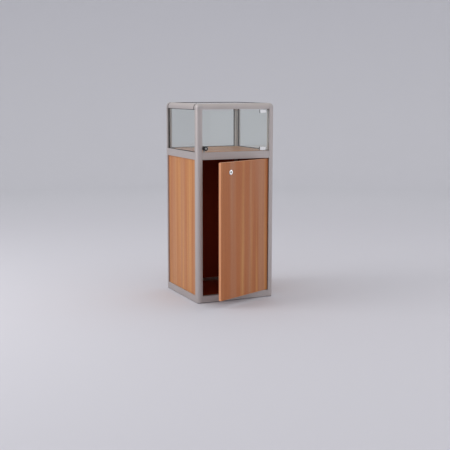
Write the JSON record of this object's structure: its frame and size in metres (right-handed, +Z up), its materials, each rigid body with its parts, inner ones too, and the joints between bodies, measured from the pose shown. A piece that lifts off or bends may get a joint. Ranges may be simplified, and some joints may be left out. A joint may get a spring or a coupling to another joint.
{
  "type": "pedestal display case",
  "caption": "Tall square retail display case: glazed chamber with a lockable glass door over a wooden cabinet with a lockable door, in a rounded slotted aluminium frame.",
  "frame": {"origin": "middle of the case's square footprint, on the floor", "axes": "+Z up; both doors face -Y and are hinged on the +X side"},
  "size_m": [0.47, 0.6259, 1.1],
  "materials": {
    "aluminium": "satin natural anodised extrusion",
    "cast_corner": "satin cast, slightly duller than the rails",
    "beech_board": "melamine-faced chipboard with a printed beech grain, satin",
    "clear_glass": "clear polished",
    "seal_rubber": "matt black",
    "chrome": "polished",
    "plated_steel": "zinc plated",
    "black_plastic": "satin black moulding",
    "nylon": "matt"
  },
  "bodies": {
    "frame": {"post_front_left": "aluminium", "post_front_right": "aluminium", "post_rear_left": "aluminium", "post_rear_right": "aluminium", "top_corner_front_left": "cast_corner", "top_corner_front_right": "cast_corner", "top_corner_rear_left": "cast_corner", "top_corner_rear_right": "cast_corner", "top_rail_front": "aluminium", "top_rail_rear": "aluminium", "top_rail_left": "aluminium", "top_rail_right": "aluminium", "mid_rail_front": "aluminium", "mid_rail_rear": "aluminium", "mid_rail_left": "aluminium", "mid_rail_right": "aluminium", "bottom_rail_front": "aluminium", "bottom_rail_rear": "aluminium", "bottom_rail_left": "aluminium", "bottom_rail_right": "aluminium", "glide_front_left": "black_plastic", "glide_front_right": "black_plastic", "glide_rear_left": "black_plastic", "glide_rear_right": "black_plastic", "cabinet_floor": "beech_board", "display_deck": "beech_board", "cabinet_panel_left": "beech_board", "cabinet_panel_right": "beech_board", "cabinet_panel_rear": "beech_board", "glass_pane_left": "clear_glass", "glass_pane_right": "clear_glass", "glass_pane_rear": "clear_glass", "pane_seal_left": "seal_rubber", "pane_seal_right": "seal_rubber", "pane_seal_rear": "seal_rubber", "top_glass": "clear_glass", "top_glass_seal": "seal_rubber", "cabinet_pivot_block_lower": "nylon", "cabinet_pivot_block_upper": "nylon", "cabinet_door_washer": "nylon", "cabinet_door_stop_lower": "seal_rubber", "cabinet_door_stop_upper": "seal_rubber", "glass_pivot_block_lower": "nylon", "glass_pivot_block_upper": "nylon", "glass_door_stop": "seal_rubber"},
    "cabinet_door": {"cabinet_door": "beech_board", "cabinet_door_pin_lower": "plated_steel", "cabinet_door_pin_upper": "plated_steel", "cabinet_lock_housing": "chrome", "cabinet_lock_nut": "plated_steel"},
    "cabinet_lock": {"cabinet_lock_plug": "plated_steel", "cabinet_lock_cam": "plated_steel", "cabinet_lock_screw": "plated_steel"},
    "glass_door": {"glass_door": "clear_glass", "glass_hinge_upper": "chrome", "glass_hinge_lower": "chrome", "glass_lock_case": "black_plastic", "glass_lock_nut": "black_plastic"},
    "glass_lock": {"glass_lock_plug": "chrome", "glass_lock_cam": "plated_steel"}
  },
  "joints": [
    {"name": "cabinet_door_hinge", "type": "hinge", "parent": "frame", "child": "cabinet_door", "pos_m": [0.188, -0.2235, 0.4164], "axis": [0, 0, 1], "range_deg": [-24.3, 85.7]},
    {"name": "cabinet_lock_turn", "type": "hinge", "parent": "cabinet_door", "child": "cabinet_lock", "pos_m": [-0.09362, -0.35066, 0.736], "axis": [0.4115, -0.9114, 0], "range_deg": [0, 90]},
    {"name": "glass_door_hinge", "type": "hinge", "parent": "frame", "child": "glass_door", "pos_m": [0.175, -0.2235, 0.952], "axis": [0, 0, 1], "range_deg": [0, 110]},
    {"name": "glass_lock_turn", "type": "hinge", "parent": "glass_door", "child": "glass_lock", "pos_m": [-0.1885, -0.2285, 0.858], "axis": [0, 1, 0], "range_deg": [0, 90]}
  ]
}
